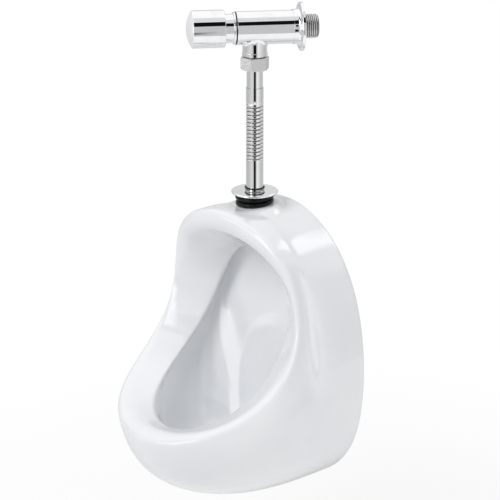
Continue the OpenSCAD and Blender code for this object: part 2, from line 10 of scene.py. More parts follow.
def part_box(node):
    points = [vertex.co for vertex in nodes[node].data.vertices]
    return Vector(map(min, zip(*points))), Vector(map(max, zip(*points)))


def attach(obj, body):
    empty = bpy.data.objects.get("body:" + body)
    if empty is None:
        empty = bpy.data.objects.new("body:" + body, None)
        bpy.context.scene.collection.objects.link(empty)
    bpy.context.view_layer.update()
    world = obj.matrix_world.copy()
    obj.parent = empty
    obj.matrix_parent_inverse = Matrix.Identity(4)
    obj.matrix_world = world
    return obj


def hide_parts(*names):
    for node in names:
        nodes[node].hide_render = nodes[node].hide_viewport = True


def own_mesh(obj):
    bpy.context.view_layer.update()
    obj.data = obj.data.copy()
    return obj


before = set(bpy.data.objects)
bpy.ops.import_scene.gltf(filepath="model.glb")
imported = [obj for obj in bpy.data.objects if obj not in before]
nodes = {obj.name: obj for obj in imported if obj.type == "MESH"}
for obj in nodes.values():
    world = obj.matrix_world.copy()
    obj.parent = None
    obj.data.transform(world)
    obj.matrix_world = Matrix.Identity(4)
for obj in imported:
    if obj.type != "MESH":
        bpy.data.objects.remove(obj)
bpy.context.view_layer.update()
scene = bpy.context.scene
mm = 0.001
wallward = Vector((0, 1, 0))
# The pipe and the valve stand one distance from the wall, the drain another
pipeDistance, drainDistance = 54, 112
print("frame loaded")

# Camera
camera = dict(azimuth=48, distance=2320, elevation=19.3, aim=(0, -62, 37), focal=1818.9, frame=500, sensor=36)
swing, rise = math.radians(camera["azimuth"]), math.radians(camera["elevation"])
towardsCamera = Vector((math.sin(swing) * math.cos(rise), -math.cos(swing) * math.cos(rise), math.sin(rise)))
cameraData = bpy.data.cameras.new("camera")
cameraData.sensor_width = camera["sensor"]
cameraData.lens = camera["focal"] / camera["frame"] * camera["sensor"]
cameraData.clip_end = 100
cameraObject = bpy.data.objects.new("camera", cameraData)
cameraObject.location = (Vector(camera["aim"]) + towardsCamera * camera["distance"]) * mm
cameraObject.rotation_euler = towardsCamera.to_track_quat("Z", "Y").to_euler()
scene.collection.objects.link(cameraObject)
scene.camera = cameraObject


# Shader sums written as expressions
class Wire:
    def __init__(self, sheet, socket):
        self.sheet, self.socket = sheet, socket

    def __add__(self, other):
        return self.sheet.sum("ADD", self, other)

    def __sub__(self, other):
        return self.sheet.sum("SUBTRACT", self, other)

    def __rsub__(self, other):
        return self.sheet.sum("SUBTRACT", other, self)

    def __mul__(self, other):
        return self.sheet.sum("MULTIPLY", self, other)

    __radd__, __rmul__ = __add__, __mul__


class Sheet:
    def __init__(self, tree):
        self.tree = tree
        tree.nodes.clear()

    def node(self, kind, settings=None, sockets=None, out=0):
        made = self.tree.nodes.new("ShaderNode" + kind)
        for name, value in (settings or {}).items():
            if name == "stops":
                while len(made.color_ramp.elements) < len(value):
                    made.color_ramp.elements.new(1)
                for element, (place, colour) in zip(made.color_ramp.elements, value):
                    element.position = place
                    element.color = (*colour, 1) if isinstance(colour, tuple) else (colour, colour, colour, 1)
            else:
                setattr(made, name, value)
        for name, value in (sockets or {}).items():
            if isinstance(value, Wire):
                self.tree.links.new(value.socket, made.inputs[name])
            elif isinstance(value, tuple) and len(value) == 3 and made.inputs[name].type == "RGBA":
                made.inputs[name].default_value = (*value, 1)
            else:
                made.inputs[name].default_value = value
        return Wire(self, made.outputs[out]) if made.outputs else None

    def sum(self, operation, first, second):
        return self.node("Math", dict(operation=operation), {0: first, 1: second})

    def part(self, vector, axis):
        return self.node("SeparateXYZ", sockets={0: vector}, out=axis)

    # 0 below low, 1 above high
    def step(self, value, low, high, first=0.0, last=1.0):
        return self.node("MapRange", dict(interpolation_type="SMOOTHSTEP"),
                         {"Value": value, "From Min": low, "From Max": high, "To Min": first, "To Max": last})

    # 1 between low and high, with soft ends
    def band(self, value, low, high, soft):
        return self.step(value, low - soft, low + soft) * self.step(value, high - soft, high + soft, 1.0, 0.0)

    def place(self):
        return self.node("TexCoord", out="Object")

    def noise(self, scale, detail=2.0, vector=None):
        return self.node("TexNoise", sockets={"Vector": vector or self.place(), "Scale": scale, "Detail": detail})

    def mix(self, share, first, second):
        return self.node("MixRGB", sockets={"Fac": share, "Color1": first, "Color2": second})

    # Millimetres from a turned piece's axis, and along it
    def fromAxis(self, axes):
        arm = self.node("VectorMath", dict(operation="SUBTRACT"), {0: self.place(), 1: axes.translation * mm})
        arm = self.node("VectorMath", dict(operation="CROSS_PRODUCT"), {0: arm, 1: axes.col[2].xyz})
        return self.node("VectorMath", dict(operation="LENGTH"), {0: arm}, out="Value") * 1000

    def along(self, axes):
        arm = self.node("VectorMath", dict(operation="SUBTRACT"), {0: self.place(), 1: axes.translation * mm})
        return self.node("VectorMath", dict(operation="DOT_PRODUCT"), {0: arm, 1: axes.col[2].xyz}, out="Value") * 1000

    def bump(self, height, strength, distance, normal=None):
        sockets = {"Height": height, "Strength": strength, "Distance": distance}
        if normal:
            sockets["Normal"] = normal
        return self.node("Bump", sockets=sockets)

    def finish(self, **sockets):
        shader = self.node("BsdfPrincipled", sockets={name.replace("_", " "): value for name, value in sockets.items()})
        self.node("OutputMaterial", sockets={"Surface": shader})


def newMaterial(name):
    material = bpy.data.materials.new(name)
    material.use_nodes = True
    return material, Sheet(material.node_tree)


glaze = dict(colour=(0.855, 0.868, 0.89), deep=(0.825, 0.842, 0.868), bare=(0.78, 0.75, 0.69), bareEdge=-1.2, ripple=26,
             rough=0.055, bareRough=0.7, coat=0.6, coatRough=0.03)


def makeGlaze():
    material, sheet = newMaterial("chinaGlaze")
    depth = sheet.part(sheet.place(), 1)
    cloud = sheet.noise(9.0, 3.0)
    ripple = sheet.noise(glaze["ripple"], 1.0)
    grain = sheet.noise(2400.0, 4.0)
    bare = sheet.step(depth, (glaze["bareEdge"] - 0.5) * mm, glaze["bareEdge"] * mm)
    colour = sheet.mix(sheet.step(cloud, 0.42, 0.62), glaze["colour"], glaze["deep"])
    colour = sheet.mix(bare, colour, glaze["bare"])
    rough = glaze["rough"] + cloud * 0.03 + bare * glaze["bareRough"]
    smooth = sheet.bump(ripple, 0.05, 0.0006)
    sheet.finish(Base_Color=colour, Roughness=rough, Coat_Weight=glaze["coat"] - bare * glaze["coat"],
                 Coat_Roughness=glaze["coatRough"], Normal=sheet.bump(grain * bare, 0.5, 0.0002, smooth))
    return material


# The dark grey among these colours is painted shade for grooves and recesses
chromeLook = dict(colour=(0.90, 0.905, 0.915), dull=(0.84, 0.845, 0.86), paintedShade=(0.30, 0.30, 0.305),
                  satinFace=(0.95, 0.94, 0.975), rough=0.018, filmRough=0.02, speckRough=0.04, faceRough=0.3,
                  faceMatt=0.5)


# Of the two masks, the first gives the share of painted shade in grooves and recesses, face the share of satin on a
# piece
def makeChrome(name, paintedShade=None, face=None):
    material, sheet = newMaterial(name)
    film = sheet.noise(70.0, 4.0)
    specks = sheet.noise(900.0, 2.0)
    colour = sheet.mix(sheet.step(film, 0.45, 0.75), chromeLook["colour"], chromeLook["dull"])
    rough = (chromeLook["rough"] + sheet.step(film, 0.4, 0.8) * chromeLook["filmRough"]
             + sheet.step(specks, 0.66, 0.78) * chromeLook["speckRough"])
    metallic = 1.0
    if paintedShade:
        # Painted shade: the chrome turns dark grey by the share of the first mask
        colour = sheet.mix(paintedShade(sheet), colour, chromeLook["paintedShade"])
    if face:
        satinShare = face(sheet)
        colour = sheet.mix(satinShare, colour, chromeLook["satinFace"])
        rough = rough + satinShare * chromeLook["faceRough"]
        metallic = 1 - satinShare * chromeLook["faceMatt"]
    sheet.finish(Base_Color=colour, Metallic=metallic, Roughness=rough,
                 Normal=sheet.bump(sheet.noise(45.0, 1.0), 0.02, 0.0005))
    return material


satinLook = dict(colour=(0.78, 0.775, 0.77), dark=(0.66, 0.655, 0.65), rough=0.26, patchRough=0.2)


def makeSatin():
    material, sheet = newMaterial("satinChrome")
    pits = sheet.noise(1500.0, 3.0)
    patch = sheet.noise(220.0, 3.0)
    colour = sheet.mix(sheet.step(pits, 0.4, 0.66), satinLook["dark"], satinLook["colour"])
    rough = satinLook["rough"] + patch * satinLook["patchRough"]
    sheet.finish(Base_Color=colour, Metallic=1.0, Roughness=rough, Normal=sheet.bump(pits, 0.5, 0.00025))
    return material


# root is painted shade for the bottom of the thread's grooves
threadLook = dict(colour=(0.88, 0.875, 0.87), dark=(0.78, 0.775, 0.77), root=(0.27, 0.268, 0.265),
                  rootRadius=14.1, flankRadius=14.8, rough=0.2, wearRough=0.15)


def makeThreadMetal():
    material, sheet = newMaterial("cutThread")
    wear = sheet.noise(260.0, 3.0)
    colour = sheet.mix(sheet.step(wear, 0.35, 0.6), threadLook["dark"], threadLook["colour"])
    # Painted shade: the thread's roots turn dark and its flanks keep the metal's colour
    flank = sheet.step(sheet.fromAxis(valvePlace), threadLook["rootRadius"], threadLook["flankRadius"])
    colour = sheet.mix(flank, threadLook["root"], colour)
    rough = threadLook["rough"] + wear * threadLook["wearRough"]
    sheet.finish(Base_Color=colour, Metallic=1.0, Roughness=rough, Normal=sheet.bump(wear, 0.12, 0.0001))
    return material


rubberLook = dict(colour=(0.004, 0.004, 0.0045), dusty=(0.012, 0.012, 0.012), rough=0.18, dustRough=0.16, gloss=0.2)


def makeRubber():
    material, sheet = newMaterial("blackRubber")
    dust = sheet.noise(260.0, 5.0)
    grain = sheet.noise(3200.0, 2.0)
    colour = sheet.mix(sheet.step(dust, 0.5, 0.75), rubberLook["colour"], rubberLook["dusty"])
    rough = rubberLook["rough"] + dust * rubberLook["dustRough"]
    sheet.finish(Base_Color=colour, Roughness=rough, Specular_IOR_Level=rubberLook["gloss"],
                 Normal=sheet.bump(grain, 0.12, 0.00006))
    return material


def makeMetal(name, bright, dark, rough, lathe):
    material, sheet = newMaterial(name)
    marks = sheet.noise(lathe, 4.0)
    patch = sheet.noise(120.0, 3.0)
    colour = sheet.mix(sheet.step(marks * 0.5 + patch * 0.5, 0.38, 0.62), dark, bright)
    sheet.finish(Base_Color=colour, Metallic=1.0, Roughness=rough + patch * 0.15,
                 Normal=sheet.bump(marks, 0.25, 0.00008))
    return material


china = makeGlaze()
chrome = makeChrome("polishedChrome")
satin = makeSatin()
rubber = makeRubber()
brass = makeMetal("turnedBrass", (0.78, 0.60, 0.27), (0.62, 0.45, 0.18), 0.18, 1800.0)
steel = makeMetal("brightSteel", (0.66, 0.66, 0.67), (0.5, 0.5, 0.51), 0.2, 2200.0)
zinc = makeMetal("zincPlate", (0.62, 0.64, 0.66), (0.46, 0.48, 0.5), 0.3, 350.0)
print("materials made")


# Frames of the turned pieces, in millimetres
def above(node, distance=pipeDistance):
    return Matrix.Translation((0, -distance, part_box(node)[0].z / mm))


valveHeight = sum(corner.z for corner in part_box("button_stem")) / 2 / mm
valveTurn = 56  # degrees from straight right, 90 is square to the wall
sideways = Matrix.Rotation(math.pi / 2, 4, "Y")
valvePlace = (Matrix.Translation((0, -pipeDistance, valveHeight))
              @ Matrix.Rotation(math.radians(valveTurn), 4, "Z") @ sideways)
grommetTall = 14.5
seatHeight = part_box("inlet_grommet")[1].z / mm - grommetTall
pipePlace = Matrix.Translation((0, -pipeDistance, seatHeight))
threadMetal = makeThreadMetal()


# A round corner between two directions, as points of an outline
def arc(centre, radius, start, end, count=6):
    turns = [math.radians(start + (end - start) * i / count) for i in range(count + 1)]
    return [(centre[0] + radius * math.cos(a), centre[1] + radius * math.sin(a)) for a in turns]


# Turns whatever lines bm holds once round their axis
def spinFully(bm, steps):
    bmesh.ops.spin(bm, geom=bm.verts[:] + bm.edges[:], cent=(0, 0, 0), axis=(0, 0, 1), dvec=(0, 0, 0),
                   angle=math.tau, steps=steps, use_merge=True, use_duplicate=False)
    bmesh.ops.remove_doubles(bm, verts=bm.verts[:], dist=0.0005)


# Spins a closed outline of (radius, height) into a solid
def turned(outline, edge=0.25, steps=96, segments=3, keen=24):
    bm = bmesh.new()
    corners = [bm.verts.new((r, 0, h)) for r, h in outline]
    for first, second in zip(corners, corners[1:] + corners[:1]):
        bm.edges.new((first, second))
    spinFully(bm, steps)
    bmesh.ops.dissolve_degenerate(bm, edges=bm.edges[:], dist=0.0005)
    bmesh.ops.recalc_face_normals(bm, faces=bm.faces[:])
    soften(bm, edge, segments, keen)
    return bm


def soften(bm, edge, segments=3, keen=24):
    if edge:
        sharp = [e for e in bm.edges if len(e.link_faces) == 2 and e.calc_face_angle() > math.radians(keen)]
        bmesh.ops.bevel(bm, geom=sharp, offset=edge, offset_type="OFFSET", segments=segments, profile=0.5,
                        affect="EDGES", material=-1, clamp_overlap=True)


def addPiece(name, bm, place, material, body, slotName, *replaced, keen=32, weighted=True):
    mesh = bpy.data.meshes.new(name)
    bm.transform(Matrix.Scale(mm, 4) @ place)
    bm.to_mesh(mesh)
    bm.free()
    mesh.materials.append(material)
    mesh.shade_smooth()
    mesh.set_sharp_from_angle(angle=math.radians(keen))
    piece = bpy.data.objects.new(name, mesh)
    scene.collection.objects.link(piece)
    if weighted:
        normals = piece.modifiers.new("evenNormals", "WEIGHTED_NORMAL")
        normals.keep_sharp = True
        normals.weight = 60
    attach(piece, body)
    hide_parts(*replaced)
    return piece


# Joins or cuts with other shapes, in place
def combine(bm, others, operation):
    mesh = bpy.data.meshes.new("working")
    bm.to_mesh(mesh)
    bm.free()
    work = bpy.data.objects.new("working", mesh)
    scene.collection.objects.link(work)
    helpers = []
    for other in others:
        otherMesh = bpy.data.meshes.new("helper")
        other.to_mesh(otherMesh)
        other.free()
        helper = bpy.data.objects.new("helper", otherMesh)
        scene.collection.objects.link(helper)
        helpers.append(helper)
        change = work.modifiers.new("change", "BOOLEAN")
        change.operation, change.solver, change.object = operation, "EXACT", helper
    bpy.context.view_layer.update()
    result = bmesh.new()
    result.from_mesh(work.evaluated_get(bpy.context.evaluated_depsgraph_get()).to_mesh())
    for unused in helpers + [work]:
        bpy.data.objects.remove(unused)
    return result


def rod(radius, low, high, place=Matrix(), segments=96):
    bm = bmesh.new()
    bmesh.ops.create_cone(bm, cap_ends=True, segments=segments, radius1=radius, radius2=radius, depth=high - low,
                          matrix=place @ Matrix.Translation((0, 0, (low + high) / 2)))
    return bm


def block(low, high, place=Matrix()):
    bm = bmesh.new()
    size = Vector(high) - Vector(low)
    bmesh.ops.create_cube(bm, size=1, matrix=place @ Matrix.Translation((Vector(low) + Vector(high)) / 2)
                          @ Matrix.Diagonal((*size, 1)))
    return bm


# Bowl: every ring is a curve in the angle round the bowl, 0 at the crown and 180 at the front's foot
bowl = dict(
    mountHeight=282, backHeight=379, backWidth=(151, 152, 137, 152, 188),
    rimWidth=(144, 120, 85, 213), rimDepth=(104, 85, 78, 57, 250), rimHeight=(380, 112),
    mouthWidth=(128, 89, 80, 175), mouthDepth=(101, 87, 53, 89, 225), mouthHeight=(350, 123),
    lipWidth=(61, 77, 60, 127), lipDepth=(61, 47, 55, 87, 208), lipHeight=(323, 118), lipEdge=1.2, lipPull=2,
    wall=9, sideRun=102, rimRun=(62, -30, 113), rimTurn=(1, 6, -50, 82), rimRoll=11, undercut=10, lipThickness=12,
    basinBack=(22, 20, 8), basinDrop=(0, 30, 20), basinReach=(52, 44, 56), basinRise=7,
    drainHeight=60, drainFlat=33, drainHole=22.5, undersideHole=45, inletHole=19, inletDepth=29, boss=28, bossFloor=9,
    swellStart=26.5, swellEnd=43, swellDepth=16, seatSink=0.05, lean=0.09, leanTurn=48,
    sprayHole=4, sprayPitch=12, sprayTilt=16, sprayLong=34, pointsRound=72,
    railLow=252, railTall=75, railInset=4, windowWide=44, windowLow=266, windowTop=303, hookPitch=140)


def bez(values, u):
    values = [Vector(v) if isinstance(v, tuple) else v for v in values]
    while len(values) > 1:
        values = [a * (1 - u) + b * u for a, b in zip(values, values[1:])]
    return values[0]


def share(t):
    return (1 - math.cos(math.radians(t))) / 2


def ring(width, depth, height, t):
    u = share(t)
    return Vector((math.sin(math.radians(t)) * bez(width, u), -bez(depth, u), height[0] + (height[1] - height[0]) * u))


def away(width, height, t):
    v = ring(width, (0,), height, t + 1) - ring(width, (0,), height, t - 1)
    return Vector((-v.z, 0, v.x)).normalized()


def edgeOf(name, t):
    return ring(bowl[name + "Width"], bowl[name + "Depth"], bowl[name + "Height"], t)


def lipAway(t):
    return away(bowl["lipWidth"], bowl["lipHeight"], t)


def backEdge(t):
    return ring(bowl["backWidth"], (0,), (bowl["backHeight"], 0), t)


def leadIn(t):
    a = math.radians(bez(bowl["rimTurn"], share(t)))
    return wallward * math.cos(a) + away(bowl["rimWidth"], bowl["rimHeight"], t) * math.sin(a)


def side(t, s):
    rim = edgeOf("rim", t)
    back = backEdge(t)
    return bez([back, back - wallward * bowl["sideRun"], rim + leadIn(t) * bez(bowl["rimRun"], share(t)), rim], s)


def rimRoll(t, s):
    rim, mouth, lip = edgeOf("rim", t), edgeOf("mouth", t), edgeOf("lip", t)
    return bez([rim, rim - leadIn(t) * bowl["rimRoll"], mouth - (lip - mouth).normalized() * bowl["rimRoll"], mouth], s)


def cheek(t, s):
    return bez([edgeOf("mouth", t), edgeOf("lip", t)], s)


def aroundDrain(t, radius, lift=0.0):
    a = math.radians(t)
    return Vector((radius * math.sin(a), radius * math.cos(a) - drainDistance, bowl["drainHeight"] + lift))


def basin(t, s):
    u = share(t)
    start = edgeOf("lip", t) + lipAway(t) * bowl["undercut"] + wallward * bowl["lipThickness"]
    fall = start + Vector((0, bez(bowl["basinBack"], u), -bez(bowl["basinDrop"], u)))
    reach = aroundDrain(t, bowl["drainFlat"] + bez(bowl["basinReach"], u), bowl["basinRise"])
    return bez([start, fall, reach, aroundDrain(t, bowl["drainFlat"])], s)


def behind(surface, t, s):
    across = surface(t + 1, s) - surface(t - 1, s)
    along = surface(t, s + 0.01) - surface(t, s - 0.01)
    return surface(t, s) + across.cross(along).normalized() * bowl["wall"]


# How far along each surface its rings lie, from 0 to 1
shares = dict(
    side=(0.015, 0.06, 0.12, 0.2, 0.28, 0.36, 0.45, 0.53, 0.62, 0.7, 0.78, 0.85, 0.9, 0.96),
    roll=(0, 0.15, 0.3, 0.45, 0.6, 0.75, 0.88), cheek=(0, 0.25, 0.5, 0.75, 0.94),
    basin=(0, 0.06, 0.12, 0.2, 0.28, 0.37, 0.46, 0.55, 0.64, 0.73, 0.82, 0.91, 1),
    behindBasin=(0.82, 0.64, 0.46, 0.28, 0.12, 0), behindCheek=(0.6, 0), behindSide=(0.9, 0.78, 0.62, 0.45, 0.28, 0.12))


# The bowl's rings in order, from the wall over the rim into the basin and back behind it
def bowlRings():
    rings = [backEdge]
    rings += [lambda t, s=s: side(t, s) for s in shares["side"]]
    rings += [lambda t, s=s: rimRoll(t, s) for s in shares["roll"]]
    rings += [lambda t, s=s: cheek(t, s) for s in shares["cheek"]]
    rings += [lambda t: edgeOf("lip", t) + wallward * bowl["lipEdge"]]
    rings += [lambda t: edgeOf("lip", t) + wallward * bowl["lipThickness"] * 0.5 + lipAway(t) * bowl["lipPull"]]
    rings += [lambda t, s=s: basin(t, s) for s in shares["basin"]]
    hole, wall = bowl["drainHole"], bowl["wall"]
    drainEdge = ((hole + 5, 0), (hole + 1, 0), (hole, -1), (hole, -wall + 0.6), (hole + 0.6, -wall), (hole + 5, -wall),
                 (bowl["drainFlat"], -wall))
    rings += [lambda t, r=r, d=d: aroundDrain(t, r, d) for r, d in drainEdge]
    rings += [lambda t, s=s: behind(basin, t, s) for s in shares["behindBasin"]]
    rings += [lambda t, s=s: behind(cheek, t, s) for s in shares["behindCheek"]]
    rings += [lambda t, s=s: behind(side, t, s) for s in shares["behindSide"]]

    def innerBack(t):
        p = behind(side, t, 0)
        return Vector((p.x, -0.6, p.z))
    rings += [innerBack, lambda t: innerBack(t) + wallward * 0.6]
    return rings


def makeBowl():
    rings = bowlRings()
    count, around = len(rings), bowl["pointsRound"]
    bm = bmesh.new()
    bmesh.ops.create_grid(bm, x_segments=count, y_segments=around, size=0.5)
    for vert in bm.verts:
        row = round((vert.co.x + 0.5) * count) % count
        vert.co = rings[row](360 * (vert.co.y + 0.5))
    bmesh.ops.remove_doubles(bm, verts=bm.verts[:], dist=0.001)
    bmesh.ops.recalc_face_normals(bm, faces=bm.faces[:])
    mesh = bpy.data.meshes.new("bowlCage")
    bm.to_mesh(mesh)
    bm.free()
    cage = bpy.data.objects.new("bowlCage", mesh)
    scene.collection.objects.link(cage)
    smooth = cage.modifiers.new("smooth", "SUBSURF")
    smooth.levels = smooth.render_levels = 2
    bpy.context.view_layer.update()
    body = bmesh.new()
    body.from_mesh(cage.evaluated_get(bpy.context.evaluated_depsgraph_get()).to_mesh())
    bpy.data.objects.remove(cage)
    return body


# The crown swells up to the grommet's seat, which falls a little towards the front left
def raiseSeat(bm, seat):
    start, end = bowl["swellStart"], bowl["swellEnd"]
    bm.normal_update()
    for vert in bm.verts:
        x, y = vert.co.x, vert.co.y + pipeDistance
        reach = math.hypot(x, y)
        if vert.normal.z > 0.3 and vert.co.z > seat - bowl["swellDepth"] and reach < end:
            swell = min(1, (end - reach) / (end - start))
            swell = swell ** 3 * (6 * swell ** 2 - 15 * swell + 10)
            top = seat + seatLean(x, y) * min(1, start / max(reach, 1)) - bowl["seatSink"]
            vert.co.z += (top - vert.co.z) * swell
    return bm


def seatLean(x, y):
    turn = math.radians(bowl["leanTurn"])
    return bowl["lean"] * (x * math.cos(turn) + y * math.sin(turn))


def makeRail():
    bm = bmesh.new()
    inset = bowl["railInset"]
    outline = [backEdge(t) - away(bowl["backWidth"], (bowl["backHeight"], 0), t) * inset for t in range(0, 360, 5)]
    face = bm.faces.new([bm.verts.new((p.x, -0.02, p.z)) for p in outline])
    solid = bmesh.ops.extrude_face_region(bm, geom=[face])["geom"]
    bmesh.ops.translate(bm, vec=(0, -bowl["wall"], 0), verts=[v for v in solid if isinstance(v, bmesh.types.BMVert)])
    for height, facing in ((bowl["railLow"], -1), (bowl["railLow"] + bowl["railTall"], 1)):
        cut = bmesh.ops.bisect_plane(bm, geom=bm.verts[:] + bm.edges[:] + bm.faces[:], plane_co=(0, 0, height),
                                     plane_no=(0, 0, facing), clear_outer=True)
        bmesh.ops.contextual_create(bm, geom=[e for e in cut["geom_cut"] if isinstance(e, bmesh.types.BMEdge)])
    bmesh.ops.recalc_face_normals(bm, faces=bm.faces[:])
    soften(bm, 1.2, 2, 60)
    return bm


def buildBowl():
    base = Matrix.Translation((0, 0, bowl["mountHeight"]))
    seat = seatHeight + bowl["mountHeight"]
    inlet, drain = (Matrix.Translation((0, -distance, 0)) for distance in (pipeDistance, drainDistance))
    inletFloor = seat - bowl["inletDepth"]
    wall = bowl["wall"]
    boss = rod(bowl["boss"], inletFloor - bowl["bossFloor"], seat - 5, inlet)
    body = combine(raiseSeat(makeBowl(), seat), [makeRail(), boss], "UNION")
    half, low, top = bowl["windowWide"] / 2, bowl["windowLow"], bowl["windowTop"]
    cuts = [block((x - half, -wall - 1, low), (x + half, 1, top))
            for x in (-bowl["hookPitch"] / 2, bowl["hookPitch"] / 2)]
    cuts += [rod(bowl["inletHole"], inletFloor, seat + 60, inlet),
             rod(bowl["undersideHole"], -5, bowl["drainHeight"] - wall - 8, drain)]
    tilt = Matrix.Rotation(math.radians(180 + bowl["sprayTilt"]), 4, "X")
    for i in (-1, 0, 1):
        spray = Matrix.Translation((i * bowl["sprayPitch"], 4 - pipeDistance, inletFloor + 2)) @ tilt
        cuts.append(rod(bowl["sprayHole"], 0, bowl["sprayLong"], spray, 32))
    body = combine(body, cuts, "DIFFERENCE")
    addPiece("china_bowl", body, base.inverted(), china, "bowl_and_pipe", "china", "bowl", keen=40, weighted=False)


buildBowl()
print("bowl built")


# Grommet, pipe and rosette
grommet = dict(shank=18.95, plug=17, foot=-18, radius=25, tall=grommetTall, bore=11.05)


def buildGrommet():
    r = grommet["radius"]
    outline = [(grommet["bore"], grommet["foot"]), (grommet["plug"], grommet["foot"]),
               (grommet["shank"], grommet["foot"] + 4), (grommet["shank"], 0), (r - 3.5, 0)]
    outline += arc((r - 3.6, 3.2), 3.0, -70, 75, 10)
    outline += [(r - 4.3, 6.5), (r - 4.3, 7.1)]
    outline += arc((r - 3.2, 10.4), 3.1, -75, 90, 12)
    outline += [(grommet["bore"], grommet["tall"])]
    bm = turned(outline, 0.2)
    for vert in bm.verts:
        vert.co.z += seatLean(vert.co.x, vert.co.y) * min(1, 1 - vert.co.z / grommet["tall"])
    addPiece("grommet", bm, pipePlace, rubber, "bowl_and_pipe", "rubber", "inlet_grommet")


# Below the radius dark the rib grooves carry full painted shade, which fades out by the next radius
pipe = dict(radius=11, wall=1, plain=56, ribs=16, rowsPerRib=16, pitch=4.75, depth=1.2, upper=19, bottom=-21,
            land=0.35, fullness=0.7, hand=-1, dark=10.3, paintedShadeEnd=10.96)


# A tube whose middle is wound into shallow ribs
def buildPipe():
    # Painted shade in the rib grooves, standing in for the dark reflections they would show
    ribbedChrome = makeChrome("ribbedChrome", paintedShade=lambda sheet: sheet.step(sheet.fromAxis(pipePlace), pipe["dark"],
                                                                             pipe["paintedShadeEnd"], 1.0, 0.0))
    low, high = pipe["plain"], pipe["plain"] + pipe["ribs"] * pipe["pitch"]
    rows = pipe["ribs"] * pipe["rowsPerRib"]
    bm = bmesh.new()
    heights = [low + (high - low) * i / rows for i in range(rows + 1)]
    heights = [pipe["bottom"] + 0.3, low - 8] + heights + [high + 8, high + pipe["upper"] - 0.3]
    line = [bm.verts.new((pipe["radius"], 0, h)) for h in heights]
    for first, second in zip(line, line[1:]):
        bm.edges.new((first, second))
    spinFully(bm, 72)
    for vert in bm.verts:
        if low <= vert.co.z <= high:
            turn = math.atan2(vert.co.y, vert.co.x) / math.tau * pipe["hand"]
            wave = (vert.co.z - low) / pipe["pitch"] + turn
            fade = min(1, (vert.co.z - low) / pipe["pitch"], (high - vert.co.z) / pipe["pitch"])
            groove = max(0, (math.cos(wave * math.tau) - pipe["land"]) / (1 - pipe["land"])) ** pipe["fullness"]
            inwards = 1 - pipe["depth"] * groove * fade / pipe["radius"]
            vert.co.x *= inwards
            vert.co.y *= inwards
    bmesh.ops.recalc_face_normals(bm, faces=bm.faces[:])
    bmesh.ops.solidify(bm, geom=bm.faces[:], thickness=pipe["wall"])
    bmesh.ops.recalc_face_normals(bm, faces=bm.faces[:])
    addPiece("ribbed_pipe", bm, pipePlace, ribbedChrome, "bowl_and_pipe", "chrome", "flush_pipe", keen=60,
             weighted=False)


rosette = dict(radius=29.7, hole=11.3, collar=12.1, ring=12.2, bead=0.75)


def buildRosette():
    r, c = rosette["radius"], rosette["collar"]
    outline = [(rosette["hole"], 0.6), (r - 2, 0)] + arc((r - 1.3, 1.3), 1.3, -80, 90, 8)
    outline += [(r - 6, 2.7), (c + 6, 2.9), (c + 1.2, 2.95), (c + 0.35, 3.1), (c, 3.6), (c, 6), (rosette["hole"], 6)]
    collar = above("rosette")
    # Painted shade darkens the collar round the pipe
    shade = makeChrome("collarChrome", paintedShade=lambda sheet: sheet.step(sheet.fromAxis(collar), c, c + 0.7, 0.75, 0.0))
    addPiece("rosette_plate", turned(outline, 0.12, 128), collar, shade, "pipe_rosette", "chrome", "rosette")
    ring, bead = rosette["ring"], rosette["bead"]
    outline = [(rosette["hole"], 0), (ring, 0)] + arc((ring, bead), bead, -80, 90, 8) + [(rosette["hole"], 2 * bead)]
    addPiece("rosette_seal", turned(outline, 0.1), above("rosette_ring"), rubber, "pipe_rosette", "rubber",
             "rosette_ring")


buildGrommet()
buildPipe()
buildRosette()
print("pipe built")


# Union
union = dict(tail=10.2, tailWall=1.2, socket=9.95, flange=12.8, flats=32, tall=16, turn=5, threadHole=13.5,
             tailHole=10.25, floor=3, endFace=2.45, clear=0.03)


def buildUnion():
    low, high = (corner.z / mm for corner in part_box("union_tail"))
    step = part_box("flush_pipe")[1].z / mm - low
    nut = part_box("union_nut")[0].z / mm - low
    r, tall, flangeFoot = union["tail"], high - low, nut + union["floor"]
    outline = [(r - union["tailWall"], 0), (union["socket"], 0), (union["socket"], step), (r, step + 0.02),
               (r, flangeFoot), (union["flange"], flangeFoot), (union["flange"], tall), (r - union["tailWall"], tall)]
    addPiece("union_tube", turned(outline, 0.12), above("union_tail"), chrome, "bowl_and_pipe", "chrome", "union_tail")
    corner = union["flats"] / 2 / math.cos(math.pi / 6)
    tall, face, clear = union["tall"], corner - union["endFace"], union["clear"]
    hexagon = rod(corner, 0, tall, Matrix.Rotation(math.radians(union["turn"]) + math.pi / 2, 4, "Z"), 6)
    soften(hexagon, 0.5, 3, 40)
    # The lens that rounds the corners reaches just past both ends, so no two faces coincide
    lens = turned([(0, -clear), (face, -clear), (corner - 0.6, 1.1), (corner + 1, 3.2), (corner + 1, tall - 3.2),
                   (corner - 0.6, tall - 1.1), (face, tall + clear), (0, tall + clear)], 0.0)
    holes = [rod(union["threadHole"], union["floor"], tall + 1), rod(union["tailHole"], -1, tall)]
    nutMesh = combine(combine(hexagon, [lens], "INTERSECT"), holes, "DIFFERENCE")
    addPiece("union_hexagon", nutMesh, above("union_nut"), satin, "bowl_and_pipe", "satin_chrome", "union_nut", keen=28)


buildUnion()
print("union built")

# Valve: heights run along its axis, from the pipe's axis towards the wall thread
body = dict(radius=20.6, front=23.5, rear=53, chamber=17, seat=18, seatHole=10.5, seatThick=6, rearBore=13, nipple=42,
            thread=15.15, outlet=9, outletClear=0.05)
stub = dict(radius=15.3, shoulder=35.5, thread=13.2, end=44.1, flare=3.4, gap=1.3)


